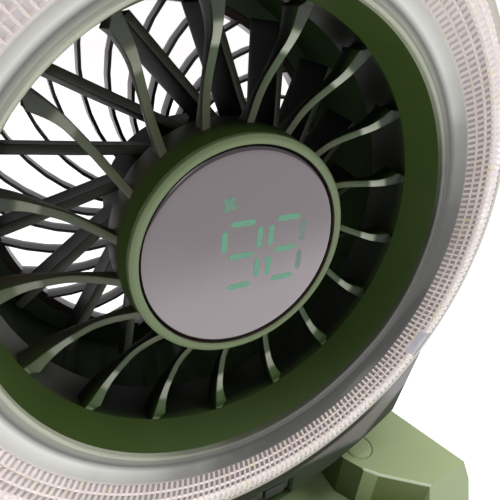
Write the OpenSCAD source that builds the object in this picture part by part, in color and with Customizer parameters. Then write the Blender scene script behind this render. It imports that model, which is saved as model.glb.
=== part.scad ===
// Portable camping fan: a round fan head with a clear light ring, hinged in a faceted base.
// The front is towards -Y, Z = 0 is the surface that the feet stand on, and the origin is
// under the middle of the base.
// Head pieces are drawn in the head's own frame: x to the right and y downwards as seen from
// the front, z towards the rear, with z = 0 at the inner lip of the light ring.

/* [Head] */
// Inner radius of the light ring's lip
lip_r = 66; // [65:0.5:67]
// Height of the fan's axis above the ground
axis_h = 156; // [155:1:164]
// How far the lip lies in front of the origin
lip_front = 16; // [14:1:18]
// Depth of the head behind the lip
head_depth = 72; // [68:0.5:76]
// Half of the width of the chin below the light ring
chin_half_w = 70; // [66:1:72]
// How far the chin reaches below the frame of the light ring
chin_drop = 16; // [15:0.5:17]

/* [Guards and blades] */
// Number of vanes in the front guard
vane_count = 17; // [13:1:19]
// Thickness of a vane
vane_t = 2.3; // [1.6:0.1:2.8]
// Number of impeller blades
blade_count = 17; // [9:1:17]
// Number of ribs in the rear guard
rib_count = 29; // [20:1:34]
// Width of a rib of the rear guard
rib_t = 1.3; // [1:0.1:1.8]

/* [Base] */
// Half of the width of the base
base_half_w = 98; // [96:1:104]
// Half of the depth of the base
base_half_d = 59; // [57:1:62]
// Height of the tops of the two side blocks
block_h = 56; // [54:0.5:57]
// Height of the floor of the bay between the blocks
bay_floor_h = 34; // [32:0.5:34.5]
// Half of the width of the bay
bay_half_w = 48; // [46:0.5:50]
// Radius of the round power button
button_r = 6; // [5:0.5:7]

/* [Fits] */
// Gap round keys and buttons
key_gap = 0.3; // [0.25:0.05:0.4]
// Radial play of the shaft and of the hinge pins
pin_play = 0.05; // [0.03:0.01:0.08]

/* [Hidden] */
$fn = 96;
eps = 0.01;

// Light ring
ring_r = lip_r + 20;
ring_seat_gap = 0.3;
knurl_r = lip_r + 6;
knurl_front = -3.5;
crest_r = lip_r + 13;
crest_front = -7.5;
ring_front = -6;
ring_back = 1.5;
ring_floor_t = 2;
led_channel = [lip_r + 4, ring_r - 3];
led_board_t = 1.2;
led_board_gap = 0.3;
led_count = 36;
led_size = [3.5, 2.8, 0.7];
led_channel_front = -1;

// Front frame and rear shell
frame_r = ring_r + 3;
frame_front = -2;
frame_back = 10;
chin_front = -6.5;
chin_r = frame_r + chin_drop;
chin_bevel_r = chin_r - 3.5;
chin_bevel_drop = 2.2;
chin_corner_r = 5;
chin_side_y = 58;
chin_slant = 11;
chin_back = 24;
chin_screw = [58, 76];
shell_wall = 2.5;
shell_end_r = lip_r + 6;
shell_mid_r = lip_r + 20;
shell_mid_z = 40;

// Front guard
ledge_r = lip_r - 1.6;
ledge_z = 13.8;
chamber_r = lip_r;
duct_end = 31;
duct_wall = 1.5;
guard_seat_gap = 0.1;
guard_flange_r = lip_r + 5;
guard_flange_t = 2;
vane_back = 21.5;
hub_rim_r = 33.5;
hub_rim_w = 3;
hub_front = 8.2;
hub_shoulder_r = 34.5;
hub_shoulder_z = 17;
hub_back = 29;
hub_wall = 2;
rim_depth = 3;
lens_front = hub_front + 0.6;
lens_t = 1.6;
module_t = 5;
board_t = 1.6;
board_r = 27;

// Display: two seven-segment digits and a small fan sign
digit_h = 21.6;
digit_w = 12.8;
digit_pitch = 14.8;
digit_centre = [5.6, 0.6];
segment_t = 1.8;
segment_gap = 3;
window_depth = 0.4;
sign_centre = [-6.3, -15.2];
sign_r = 2.2;

// Motor and impeller
shaft_r = 1.5;
bearing_r = 4;
bearing_l = 4;
mount_tube_r = 5.5;
mount_disc_r = 21;
mount_disc_t = 2;
stator_r = 16.5;
stator_teeth = 9;
guard_z = head_depth - 3;
stator_z = [guard_z - 19, guard_z - 11];
magnet_r = [17.3, 19.3];
cup_r = 20.3;
rotor_z = [stator_z[0] - 3.5, stator_z[1] + 2];
rotor_top_t = 1.2;
impeller_hub_r = 30;
impeller_wall = 2.4;
impeller_front = 33;
impeller_plate_t = 2.6;
impeller_back = 54;
blade_z = [34, 48];
blade_tip_r = lip_r - 3.5;
blade_t = 2.6;
blade_offset = 24;
blade_lean = 9;
blade_phase = 204.2;
guard_r = lip_r - 1;
guard_disc_r = 24;
guard_rim_w = 2.5;
rib_sweep = 0.82;
rib_phase = 2.2;
rib_front = 3;

// Key panel in the slot of the chin
panel_half_w = 19.5;
panel_y = [frame_r + 1.2, chin_r - 5.5];
panel_front = -5;
panel_t = 2.2;
key_size = [8.4, 5.6];
key_pitch = 12;
key_travel = 0.8;
key_proud = 0.9;
key_flange = 0.8;
slot_back = 4;
key_board_z = 1;

// Hinge
hinge_y = 14;
hinge_h = 46;
hinge_barrel_r = 9.5;
tongue_half_w = bay_half_w - 2.6;
tongue_half_d = 8.5;
pin_r = 4;
pin_in = 14;
pin_out = 12;
washer_t = 2.3;
washer_r = 8.5;

// Base
foot_h = 3;
plate_t = 3;
shell_bottom = foot_h + plate_t;
base_wall = 2.5;
base_chamfer = 9;
block_side_y = -19.5;
block_front_in = [bay_half_w + 5.8, -30];
block_front_mid = [bay_half_w + 23.8, -44.6];
block_front_back = 4;
block_front_corner = [bay_half_w + 46.5, -42.8];
side_facet_turn = 14.2;
side_facet_fall = 75;
front_facet_fall = 70;
rear_fall = 20;
rear_fall_y = 3;
button_pos = [bay_half_w + 9.5, -17.8];
button_proud = 0.4;
button_travel = 0.8;
button_flange_r = button_r + 0.6;
button_l = 9;
switch_t = 3.5;
switch_leg = [10, 3.5];
switch_board_top = block_h + button_proud - button_l - button_travel - 0.1 - switch_t;
cell_r = 9.2;
cell_l = 65;
cell_pitch = 19.5;
cell_count = 6;
cell_z = shell_bottom + 2 + cell_r;
strip_t = 0.3;
board_h = 30;
main_board_pos = [16.5 - base_half_w, -24];
main_board_size = [-main_board_pos[0] - cell_count * cell_pitch / 2 - 4, 44];
port_board_pos = [-12, cell_l / 2 + strip_t + 3];
port_board_size = [24, base_half_d - 3 - port_board_pos[1]];
foot_r = 8;
foot_pos = [base_half_w - 16, base_half_d - 15];
screw_pos = [base_half_w - 12, 12];
boss_r = 4;
screw_r = 1.4;
screw_head_r = 2.8;
port_size = [9, 7.4, 3.2];
port_h = 18;

// Places children in the head's frame
module head() {
    translate([0, -lip_front, axis_h]) rotate([-90, 0, 0]) children();
}

// Copies children round the fan's axis
module around(count, phase = 0) {
    for (i = [0 : count - 1]) rotate(phase + i * 360 / count) children();
}

// A solid of revolution in the head's frame, from [radius, z] points
module turned(points) {
    rotate_extrude() polygon(points);
}

// A flat ring from z0 to z1
module ring(r_in, r_out, z0, z1) {
    turned([[r_in, z0], [r_out, z0], [r_out, z1], [r_in, z1]]);
}

// Points on an arc
function arc(centre, r, a0, a1, steps = 8) =
    [for (i = [0 : steps]) centre + r * [cos(a0 + (a1 - a0) * i / steps),
                                         sin(a0 + (a1 - a0) * i / steps)]];

// Same points on the left side, in reverse order
function mirrored(points) = [for (i = [len(points) - 1 : -1 : 0]) [-points[i][0], points[i][1]]];

// Outline of the chin, grown by g: slanting sides, round corners, lower edge on an arc
function chin_side(g) =
    let(out = [cos(chin_slant), sin(chin_slant)],
        down = [-sin(chin_slant), cos(chin_slant)],
        reach = chin_half_w * out[0] + chin_side_y * out[1],
        drop = sqrt(pow(chin_r - chin_corner_r, 2) - pow(reach - chin_corner_r, 2)),
        corner = out * (reach - chin_corner_r) + down * drop,
        turn = atan2(corner[1], corner[0]))
    concat([out * (reach + g) + down * 14],
           arc(corner, chin_corner_r + g, chin_slant, turn, 6),
           [for (i = [1 : 8]) (chin_r + g) * [cos(turn + (90 - turn) * i / 8.5),
                                              sin(turn + (90 - turn) * i / 8.5)]]);
function chin_outline(g = 0) = concat(chin_side(g), mirrored(chin_side(g)));

// A strip of width w along the curve r -> turn * (r - r0) between two radii
function strip_point(r, r0, turn, side) =
    let(a = turn * (r - r0)) [r * cos(a) - side * sin(a), r * sin(a) + side * cos(a)];
module swept_strip(r_in, r_out, w, turn, steps = 7) {
    mid = (r_in + r_out) / 2;
    radii = [for (i = [0 : steps]) r_in + (r_out - r_in) * i / steps];
    polygon(concat(
        [for (r = radii) strip_point(r, mid, turn, w / 2)],
        [for (i = [steps : -1 : 0]) strip_point(radii[i], mid, turn, -w / 2)]));
}

// ---- Head: light ring and frame ----

module light_ring_lens() {
    color([0.86, 0.84, 0.84, 0.6]) head() difference() {
        turned(concat(
            [[lip_r, ring_back], [lip_r, 0], [lip_r + 0.8, -0.4],
             [lip_r + 2.6, -0.7], [lip_r + 4.6, -1.7], [knurl_r, knurl_front]],
            [[lip_r + 9, -6.2], [crest_r, crest_front], [lip_r + 17, -7],
             [ring_r, ring_front], [ring_r, ring_back]]));
        ring(led_channel[0], led_channel[1], led_channel_front, ring_back + 1);
    }
}

module led_board() {
    color("white") head()
        ring(led_channel[0] + led_board_gap, led_channel[1] - led_board_gap,
             ring_back - led_board_t, ring_back);
}

module led_chips() {
    mid = (led_channel[0] + led_channel[1]) / 2;
    top = ring_back - led_board_t;
    color([1, 0.9, 0.6]) head() around(led_count)
        translate([mid - led_size[1] / 2, -led_size[0] / 2, top - led_size[2]])
            cube([led_size[1], led_size[0], led_size[2]]);
}

module chin_solid(z0, z1) {
    translate([0, 0, z0]) linear_extrude(z1 - z0) polygon(chin_outline());
}

// Space of the key slot, from the front to its floor
module key_slot(z0, z1) {
    translate([-panel_half_w, panel_y[0], z0])
        cube([2 * panel_half_w, panel_y[1] - panel_y[0], z1 - z0]);
}

module front_frame() {
    color([0.2, 0.3, 0.13]) head() difference() {
        union() {
            ring(lip_r - 1.5, frame_r, frame_front, frame_back);
            intersection() {
                chin_solid(chin_front, frame_back);
                turned([[0, chin_front], [chin_bevel_r, chin_front],
                        [chin_r, chin_front + chin_bevel_drop], [chin_r + 6, chin_front + 5],
                        [chin_r + 6, frame_back], [0, frame_back]]);
            }
        }
        // seat of the light ring
        translate([0, 0, chin_front - 1])
            cylinder(r = ring_r + ring_seat_gap, h = ring_back - chin_front + 1);
        // way through for the front guard
        translate([0, 0, chin_front - 1]) cylinder(r = chamber_r + duct_wall + guard_seat_gap, h = 30);
        // hollow behind the light ring's floor
        translate([0, 0, ring_back + ring_floor_t]) cylinder(r = ring_r, h = 20);
        // hollow of the chin, round the key pocket and the screw bosses
        difference() {
            translate([0, 0, chin_front + 4.2]) linear_extrude(20)
                polygon(chin_outline(-shell_wall));
            translate([0, 0, chin_front]) cylinder(r = frame_r, h = 40);
            translate([-panel_half_w - 2, panel_y[0] - 3, chin_front])
                cube([2 * panel_half_w + 4, panel_y[1] - panel_y[0] + 5, slot_back + 2 - chin_front]);
            shell_screw_places() cylinder(r = boss_r, h = 60, center = true);
        }
        key_slot(chin_front - 1, slot_back);
        shell_screw_places() cylinder(r = screw_r, h = 12, center = true);
    }
}

// ---- Head: front guard and display ----

// Vane plan: turn in degrees against radius in lip radii
vane_plan = [[0.49, -6.8], [0.55, -4.4], [0.6, -2.7], [0.7, 0], [0.8, 1.7], [0.88, 2.5],
             [1.02, 2.6]];
// Front edges of the vanes: depth against radius, both in lip radii
vane_edge = [[0.49, 0.245], [0.55, 0.266], [0.6, 0.282], [0.65, 0.29], [0.7, 0.289],
             [0.75, 0.277], [0.8, 0.262], [0.85, 0.245], [0.9, 0.23], [0.955, 0.214]];
vane_phase = 6.5;

function vane_point(p, side) =
    let(r = p[0] * lip_r, a = p[1]) [r * cos(a) - side * sin(a), r * sin(a) + side * cos(a)];

module vane() {
    n = len(vane_plan) - 1;
    linear_extrude(vane_back + 1) polygon(concat(
        [for (p = vane_plan) vane_point(p, vane_t / 2)],
        [for (i = [n : -1 : 0]) vane_point(vane_plan[i], -vane_t / 2)]));
}

// Funnel whose wall ends in a ledge, and the wider duct behind it, against which the vanes end
module guard_funnel() {
    outer = chamber_r + duct_wall;
    flange_z = ring_back + ring_floor_t;
    color([0.16, 0.25, 0.1]) head()
        turned([[lip_r - 0.1, ring_back], [ledge_r, ledge_z], [chamber_r, ledge_z],
                [chamber_r, duct_end], [outer, duct_end], [outer, flange_z + guard_flange_t],
                [guard_flange_r, flange_z + guard_flange_t], [guard_flange_r, flange_z],
                [outer, flange_z], [outer, ring_back]]);
}

module front_guard() {
    color([0.16, 0.25, 0.1]) head() union() {
        // hub cup
        turned([[hub_rim_r - hub_rim_w, hub_front + rim_depth],
                [hub_rim_r - 0.6, hub_front + rim_depth],
                [hub_shoulder_r, hub_shoulder_z], [hub_shoulder_r, hub_back - 3],
                [hub_shoulder_r - 3, hub_back], [0, hub_back], [0, hub_back - hub_wall],
                [hub_rim_r - hub_rim_w, hub_back - hub_wall]]);
        // posts that carry the display board
        around(3) translate([board_r - 4, 0, lens_front + lens_t + module_t + board_t])
            cylinder(r = 2, h = hub_back - hub_wall - lens_front - lens_t - module_t - board_t
                                + eps);
        // vanes, trimmed to their curved front edge, the ledge and the duct
        intersection() {
            around(vane_count, vane_phase) vane();
            turned(concat(vane_edge * lip_r,
                          [[ledge_r, ledge_z], [chamber_r, ledge_z], [chamber_r, vane_back],
                           [0.49 * lip_r, vane_back]]));
        }
    }
}

module hub_rim() {
    color([0.5, 0.62, 0.35]) head()
        turned([[hub_rim_r - hub_rim_w, hub_front + 0.8], [hub_rim_r - hub_rim_w + 0.7, hub_front],
                [hub_rim_r - 0.9, hub_front], [hub_rim_r, hub_front + 0.9],
                [hub_rim_r - 0.6, hub_front + rim_depth],
                [hub_rim_r - hub_rim_w, hub_front + rim_depth]]);
}

// One bar of a digit, lying along x, with pointed ends
module bar(l) {
    h = segment_t / 2;
    polygon([[-l / 2, 0], [-l / 2 + h, h], [l / 2 - h, h], [l / 2, 0], [l / 2 - h, -h],
             [-l / 2 + h, -h]]);
}

// A digit whose lower left bar can be left out
module digit(lower_left = true) {
    across = digit_w - segment_t - segment_gap;
    down = digit_h / 2 - segment_t / 2 - segment_gap;
    half_w = (digit_w - segment_t) / 2;
    half_h = (digit_h - segment_t) / 2;
    for (y = [-half_h, 0, half_h]) translate([0, y]) bar(across);
    for (x = [-half_w, half_w], y = [-half_h / 2, half_h / 2])
        if (lower_left || x > 0 || y < 0) translate([x, y]) rotate(90) bar(down);
}

module display_signs() {
    translate(digit_centre - [digit_pitch / 2, 0]) digit(lower_left = false);
    translate(digit_centre + [digit_pitch / 2, 0]) digit();
    translate(sign_centre) for (a = [20 : 90 : 290])
        rotate(a) translate([sign_r * 0.55, 0.35]) square([sign_r, 1.5], center = true);
}

module display_lens() {
    color([0.5, 0.47, 0.49]) head() difference() {
        translate([0, 0, lens_front]) cylinder(r = hub_rim_r - hub_rim_w, h = lens_t);
        translate([0, 0, lens_front - eps]) linear_extrude(window_depth + eps) display_signs();
    }
}

module display_windows() {
    color([0.4, 0.9, 0.65]) head() translate([0, 0, lens_front])
        linear_extrude(window_depth) display_signs();
}

module display_module() {
    size = [2 * digit_pitch + 2, digit_h + 4, module_t];
    color([0.08, 0.08, 0.08]) head()
        translate([digit_centre[0] - size[0] / 2, digit_centre[1] - size[1] / 2,
                   lens_front + lens_t]) cube(size);
}

module display_board() {
    color([0.1, 0.35, 0.2]) head() translate([0, 0, lens_front + lens_t + module_t])
        cylinder(r = board_r, h = board_t);
}

// ---- Head: rear shell, rear guard and motor ----

module shell_screw_places() {
    for (x = [-1, 1]) translate([x * chin_screw[0], chin_screw[1], frame_back]) children();
}

module rear_shell() {
    inner_mid = shell_mid_r - shell_wall;
    inner_end = shell_end_r - shell_wall;
    color([0.18, 0.27, 0.12]) head() difference() {
        union() {
            turned([[0, frame_back], [frame_r, frame_back], [shell_mid_r, shell_mid_z],
                    [shell_end_r + 4, head_depth - 7], [shell_end_r, head_depth - 2],
                    [shell_end_r - 3, head_depth], [0, head_depth]]);
            intersection() {
                chin_solid(frame_back, chin_back);
                turned([[0, frame_back], [chin_r + 6, frame_back], [chin_r + 4, chin_back - 8],
                        [chin_r - 6, chin_back], [0, chin_back]]);
            }
            // hinge tongue
            translate([-tongue_half_w, 60, hinge_y + lip_front - tongue_half_d])
                cube([2 * tongue_half_w, axis_h - hinge_h - 60, 2 * tongue_half_d]);
            translate([0, axis_h - hinge_h, hinge_y + lip_front]) rotate([0, 90, 0])
                cylinder(r = hinge_barrel_r, h = 2 * tongue_half_w, center = true);
        }
        // hollow of the drum
        turned([[0, frame_back - 1], [frame_r - shell_wall, frame_back - 1],
                [frame_r - shell_wall, frame_back], [inner_mid, shell_mid_z],
                [inner_end + 2, head_depth - 7], [inner_end + 2, head_depth - 6],
                [guard_r + 0.2, head_depth - 6], [guard_r + 0.2, head_depth + 1],
                [0, head_depth + 1]]);
        // hollow of the tongue, open to the drum
        translate([-tongue_half_w + 3, 60, hinge_y + lip_front - tongue_half_d + shell_wall])
            cube([2 * tongue_half_w - 6, axis_h - hinge_h - 60 - hinge_barrel_r,
                  2 * (tongue_half_d - shell_wall)]);
        // hollow of the chin
        difference() {
            intersection() {
                translate([0, 0, frame_back - 1]) linear_extrude(chin_back - frame_back - 3)
                    polygon(chin_outline(-shell_wall));
                turned([[0, frame_back - 1], [chin_r - 3, frame_back - 1],
                        [chin_r - 6, chin_back - 10], [0, chin_back - 3]]);
            }
            shell_screw_places() cylinder(r = boss_r, h = 40, center = true);
        }
        shell_screw_places() cylinder(r = screw_r, h = 80, center = true);
        shell_screw_places() translate([0, 0, 4]) cylinder(r = screw_head_r + 0.2, h = 80);
        // running bores of the hinge pins
        translate([0, axis_h - hinge_h, hinge_y + lip_front]) for (side = [-1, 1])
            rotate([0, side * 90, 0]) translate([0, 0, tongue_half_w - pin_in - 1])
                cylinder(r = pin_r + pin_play, h = pin_in + 2);
    }
}

module shell_screws() {
    color("silver") head() shell_screw_places() union() {
        translate([0, 0, 4]) cylinder(r = screw_head_r, h = 2);
        translate([0, 0, -5]) cylinder(r = screw_r, h = 9 + eps);
    }
}

module guard_screw_places() {
    around(3, 30) translate([mount_disc_r - 5, 0, guard_z]) children();
}

module rear_guard() {
    color([0.22, 0.2, 0.19]) head() difference() {
        union() {
            ring(guard_r - guard_rim_w, guard_r, guard_z - 2, guard_z + 3);
            translate([0, 0, guard_z]) cylinder(r = guard_disc_r, h = 3);
            translate([0, 0, guard_z - rib_front]) linear_extrude(rib_front + 2.6)
                around(rib_count, rib_phase)
                    swept_strip(guard_disc_r - 1, guard_r - guard_rim_w + 0.6, rib_t, rib_sweep);
        }
        guard_screw_places() cylinder(r = screw_r + 0.15, h = 20, center = true);
    }
}

module motor_mount() {
    color([0.15, 0.15, 0.15]) head() difference() {
        union() {
            translate([0, 0, guard_z - mount_disc_t]) cylinder(r = mount_disc_r, h = mount_disc_t);
            translate([0, 0, stator_z[0] - 1.5])
                cylinder(r = mount_tube_r, h = guard_z - stator_z[0]);
            guard_screw_places() translate([0, 0, -5]) cylinder(r = 3, h = 5);
        }
        translate([0, 0, stator_z[0] - 3]) cylinder(r = bearing_r, h = guard_z);
        guard_screw_places() translate([0, 0, -4]) cylinder(r = screw_r, h = 8);
    }
}

module bearing(z) {
    color("goldenrod") head() ring(shaft_r + pin_play, bearing_r, z, z + bearing_l);
}
module front_bearing() {
    bearing(stator_z[0] - 1.5);
}
module rear_bearing() {
    bearing(stator_z[1] + 2);
}

module stator_core() {
    color("slategray") head() translate([0, 0, stator_z[0]])
        linear_extrude(stator_z[1] - stator_z[0]) difference() {
            union() {
                circle(r = mount_tube_r + 2.5);
                around(stator_teeth) translate([mount_tube_r + 1, -1.2]) square([9, 2.4]);
                intersection() {
                    difference() {
                        circle(r = stator_r);
                        circle(r = stator_r - 1.6);
                    }
                    around(stator_teeth) translate([8, -4.6]) square([12, 9.2]);
                }
            }
            circle(r = mount_tube_r);
        }
}

module stator_coils() {
    color([0.75, 0.4, 0.2]) head() around(stator_teeth)
        translate([mount_tube_r + 2.9, -2, stator_z[0] - 1]) difference() {
            cube([5.4, 4, stator_z[1] - stator_z[0] + 2]);
            translate([-1, 0.8, 1]) cube([9, 2.4, stator_z[1] - stator_z[0]]);
        }
}

module guard_screws() {
    color("silver") head() guard_screw_places() union() {
        translate([0, 0, 3]) cylinder(r = screw_head_r, h = 1.6);
        translate([0, 0, -3.5]) cylinder(r = screw_r, h = 6.5 + eps);
    }
}

// ---- Head: keys ----

module key_shape(gap = 0) {
    translate([0, (panel_y[0] + panel_y[1]) / 2])
        square([key_size[0] + 2 * gap, key_size[1] + 2 * gap], center = true);
}

module key_panel() {
    color([0.05, 0.05, 0.06]) head() difference() {
        key_slot(panel_front, panel_front + panel_t);
        translate([0, 0, panel_front - 1]) linear_extrude(panel_t + 2)
            for (i = [-1 : 1]) translate([i * key_pitch, 0]) key_shape(key_gap);
    }
}

module key(i) {
    back = panel_front + panel_t;
    color([0.12, 0.12, 0.13]) head() translate([i * key_pitch, 0, 0]) {
        translate([0, 0, panel_front - key_proud])
            linear_extrude(panel_t + key_proud + key_flange) key_shape();
        translate([0, 0, back + 0.02]) linear_extrude(key_flange) key_shape(1);
    }
}
module key_power() {
    key(-1);
}
module key_speed() {
    key(0);
}
module key_light() {
    key(1);
}

module key_board() {
    dome_top = panel_front + panel_t + key_flange + key_travel + 0.1;
    color([0.1, 0.35, 0.2]) head() {
        translate([-panel_half_w + 1, panel_y[0] + 0.5, key_board_z])
            cube([2 * panel_half_w - 2, panel_y[1] - panel_y[0] - 1, slot_back - key_board_z]);
        for (i = [-1 : 1])
            translate([i * key_pitch, (panel_y[0] + panel_y[1]) / 2, dome_top])
                cylinder(r = 2, h = key_board_z - dome_top + eps);
    }
}

// ---- Impeller ----

module impeller() {
    hub_in = impeller_hub_r - impeller_wall;
    plate_back = impeller_front + impeller_plate_t;
    color([0.06, 0.06, 0.06]) head() difference() {
        union() {
            turned([[0, impeller_front], [impeller_hub_r - 3, impeller_front],
                    [impeller_hub_r, impeller_front + 3], [impeller_hub_r, impeller_back],
                    [hub_in, impeller_back], [hub_in, plate_back], [cup_r + 2, plate_back],
                    [cup_r + 2, rotor_z[1]], [cup_r, rotor_z[1]], [cup_r, rotor_z[0]],
                    [mount_tube_r, rotor_z[0]], [mount_tube_r, plate_back], [0, plate_back]]);
            translate([0, 0, impeller_front])
                cylinder(r = mount_tube_r + 1, h = rotor_z[0] - impeller_front - 0.5);
            intersection() {
                ring(impeller_hub_r - 1, blade_tip_r, blade_z[0], blade_z[1]);
                around(blade_count, blade_phase) translate([0, blade_offset, blade_z[0]])
                    rotate([blade_lean, 0, 0]) translate([14, -blade_t / 2, -5])
                        cube([blade_tip_r - 14, blade_t, 30]);
            }
        }
        translate([0, 0, impeller_front - 1])
            cylinder(r = shaft_r, h = rotor_z[0] - impeller_front + 2);
    }
}

module motor_shaft() {
    color("silver") head() translate([0, 0, impeller_front + 0.5])
        cylinder(r = shaft_r, h = stator_z[1] + 8 - impeller_front);
}

module rotor_cup() {
    color("silver") head()
        turned([[shaft_r, rotor_z[0]], [cup_r, rotor_z[0]], [cup_r, rotor_z[1]],
                [magnet_r[1], rotor_z[1]], [magnet_r[1], rotor_z[0] + rotor_top_t],
                [shaft_r, rotor_z[0] + rotor_top_t]]);
}

module rotor_magnet() {
    color([0.2, 0.2, 0.2]) head()
        ring(magnet_r[0], magnet_r[1], rotor_z[0] + rotor_top_t, rotor_z[1] - 1);
}

module shaft_clip() {
    top = stator_z[1] + 2 + bearing_l + 0.3;
    color("silver") head() ring(shaft_r, shaft_r + 1.6, top, top + 0.6);
}

// ---- Base ----

// Everything behind and below a plane that falls away from an edge point
module facet_cut(point, turn, fall) {
    translate([point[0], point[1], block_h]) rotate([0, 0, turn]) rotate([0, fall, 0])
        translate([-200, -200, 0]) cube([400, 400, 80]);
}

module footprint(inset = 0) {
    w = base_half_w - inset;
    d = base_half_d - inset;
    c = base_chamfer;
    polygon([[-w, -d + c], [-w + c, -d], [w - c, -d], [w, -d + c],
             [w, d - c], [w - c, d], [-w + c, d], [-w, d - c]]);
}

// Right block's outline from above
module block_plan(inset = 0) {
    w = bay_half_w + inset;
    far = base_half_w - inset;
    polygon([[w, base_half_d], [w, block_side_y + 0.26 * inset],
             block_front_in + inset * [0.78, 0.65], block_front_mid + inset * [1.14, 0.36],
             [block_front_mid[0] - block_front_back + inset, -base_half_d],
             [far, -base_half_d], [far, base_half_d]]);
}

// Right block, whose facets are moved in by inset
module block(z0, inset = 0) {
    difference() {
        intersection() {
            translate([0, 0, z0]) linear_extrude(block_h - inset - z0) block_plan(inset);
            translate([0, 0, z0]) linear_extrude(block_h) footprint(inset);
        }
        translate([0, 0, -inset]) {
            facet_cut(block_front_corner, side_facet_turn, side_facet_fall);
            facet_cut(block_front_mid, -87, front_facet_fall);
            facet_cut([0, rear_fall_y], 90, rear_fall);
        }
    }
}

// The outside of the base, or its inside when inset is the wall
module base_body(z0, inset = 0) {
    translate([0, 0, z0]) linear_extrude(bay_floor_h - inset - z0) footprint(inset);
    block(z0, inset);
    mirror([1, 0, 0]) block(z0, inset);
}

module hinge_axis() {
    translate([0, hinge_y, hinge_h]) rotate([0, 90, 0]) children();
}

module corner_places(pos) {
    for (x = [-1, 1], y = [-1, 1]) translate([x * pos[0], y * pos[1], 0]) children();
}

module base_shell() {
    color([0.45, 0.55, 0.33]) difference() {
        union() {
            difference() {
                base_body(shell_bottom);
                base_body(shell_bottom - 1, base_wall);
            }
            // bosses for the hinge pins
            intersection() {
                base_body(shell_bottom);
                for (side = [0, 1]) mirror([side, 0, 0]) hinge_axis()
                    translate([0, 0, bay_half_w]) cylinder(r = pin_r + 3, h = pin_out);
            }
            // bosses for the base screws
            intersection() {
                base_body(shell_bottom);
                union() {
                    corner_places(screw_pos) translate([0, 0, shell_bottom])
                        cylinder(r = boss_r, h = block_h);
                    // legs that hold the switch board under the power button
                    for (side = [-1, 1])
                        translate([button_pos[0] + switch_leg[0],
                                   button_pos[1] + side * switch_leg[1], switch_board_top])
                            cylinder(r = 1.8, h = 20);
                }
            }
        }
        for (side = [0, 1]) mirror([side, 0, 0]) hinge_axis()
            translate([0, 0, bay_half_w - 1]) cylinder(r = pin_r, h = pin_out);
        corner_places(screw_pos) cylinder(r = screw_r, h = shell_bottom + 14);
        // hole of the power button
        translate([button_pos[0], button_pos[1], bay_floor_h])
            cylinder(r = button_r + key_gap, h = 40);
        // room for its flange
        translate([button_pos[0], button_pos[1], block_h - base_wall - 4])
            cylinder(r = button_flange_r + key_gap, h = 4);
        // mouth of the charging socket
        translate([-port_size[0] / 2 - 0.1, base_half_d - 10, port_h - 0.1])
            cube([port_size[0] + 0.2, 20, port_size[2] + 0.2]);
    }
}

module base_plate() {
    color([0.12, 0.13, 0.1]) difference() {
        union() {
            translate([0, 0, foot_h]) linear_extrude(plate_t) footprint(0.5);
            posts(main_board_pos, main_board_size, board_h);
            posts(port_board_pos, port_board_size, port_h - board_t);
        }
        corner_places(screw_pos) cylinder(r = screw_r + 0.2, h = 20);
        corner_places(screw_pos) cylinder(r = screw_head_r + 0.3, h = foot_h + 1.8);
    }
}

module hinge_pins() {
    color("silver") for (side = [0, 1]) mirror([side, 0, 0]) hinge_axis()
        translate([0, 0, tongue_half_w - pin_in]) difference() {
            cylinder(r = pin_r, h = pin_in + bay_half_w - tongue_half_w + pin_out - 1.5);
            translate([0, 0, -1]) cylinder(r = 1.2, h = 8);
        }
}

module hinge_washers() {
    color([0.1, 0.1, 0.1]) for (side = [0, 1]) mirror([side, 0, 0]) hinge_axis()
        translate([0, 0, bay_half_w - washer_t]) difference() {
            cylinder(r = washer_r, h = washer_t);
            translate([0, 0, -1]) cylinder(r = pin_r, h = washer_t + 2);
        }
}

module battery_cells() {
    color([0.2, 0.35, 0.6]) for (i = [0 : cell_count - 1])
        translate([(i - (cell_count - 1) / 2) * cell_pitch, 0, cell_z]) rotate([90, 0, 0])
            cylinder(r = cell_r, h = cell_l, center = true);
}

module battery_tray() {
    w = cell_count * cell_pitch + 4;
    color([0.1, 0.1, 0.1]) difference() {
        translate([-w / 2, -cell_l / 2 + 4, shell_bottom]) cube([w, cell_l - 8, 7]);
        for (i = [0 : cell_count - 1])
            translate([(i - (cell_count - 1) / 2) * cell_pitch, 0, cell_z]) rotate([90, 0, 0])
                cylinder(r = cell_r, h = cell_l, center = true);
    }
}

module cell_strips() {
    w = (cell_count - 1) * cell_pitch + 7;
    color("silver") for (y = [-cell_l / 2 - strip_t, cell_l / 2])
        translate([-w / 2, y, cell_z - 3.5]) cube([w, strip_t, 7]);
}

module main_board() {
    color([0.1, 0.35, 0.2]) translate([main_board_pos[0], main_board_pos[1], board_h])
        cube([main_board_size[0], main_board_size[1], board_t]);
}

module port_board() {
    color([0.1, 0.35, 0.2]) translate([port_board_pos[0], port_board_pos[1], port_h - board_t])
        cube([port_board_size[0], port_board_size[1], board_t]);
}

// Posts under a board with its lower left corner at pos
module posts(pos, size, top) {
    for (x = [2.5, size[0] - 2.5], y = [2.5, size[1] - 2.5])
        translate([pos[0] + x, pos[1] + y, shell_bottom - eps])
            cylinder(r = 2, h = top - shell_bottom + eps);
}

module charge_port() {
    wall = 0.3;
    color("silver") translate([-port_size[0] / 2, base_half_d - port_size[1], port_h]) difference() {
        cube(port_size);
        translate([wall, 1, wall])
            cube([port_size[0] - 2 * wall, port_size[1], port_size[2] - 2 * wall]);
    }
}

module power_button() {
    top = block_h + button_proud;
    flange_top = block_h - base_wall - 0.02;
    color([0.62, 0.7, 0.5]) translate([button_pos[0], button_pos[1], 0]) {
        translate([0, 0, top - button_l]) cylinder(r = button_r, h = button_l - 0.6);
        translate([0, 0, top - 0.6 - eps]) cylinder(r1 = button_r, r2 = button_r - 0.6, h = 0.6);
        translate([0, 0, flange_top - 1.4]) cylinder(r = button_flange_r, h = 1.4);
    }
}

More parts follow.
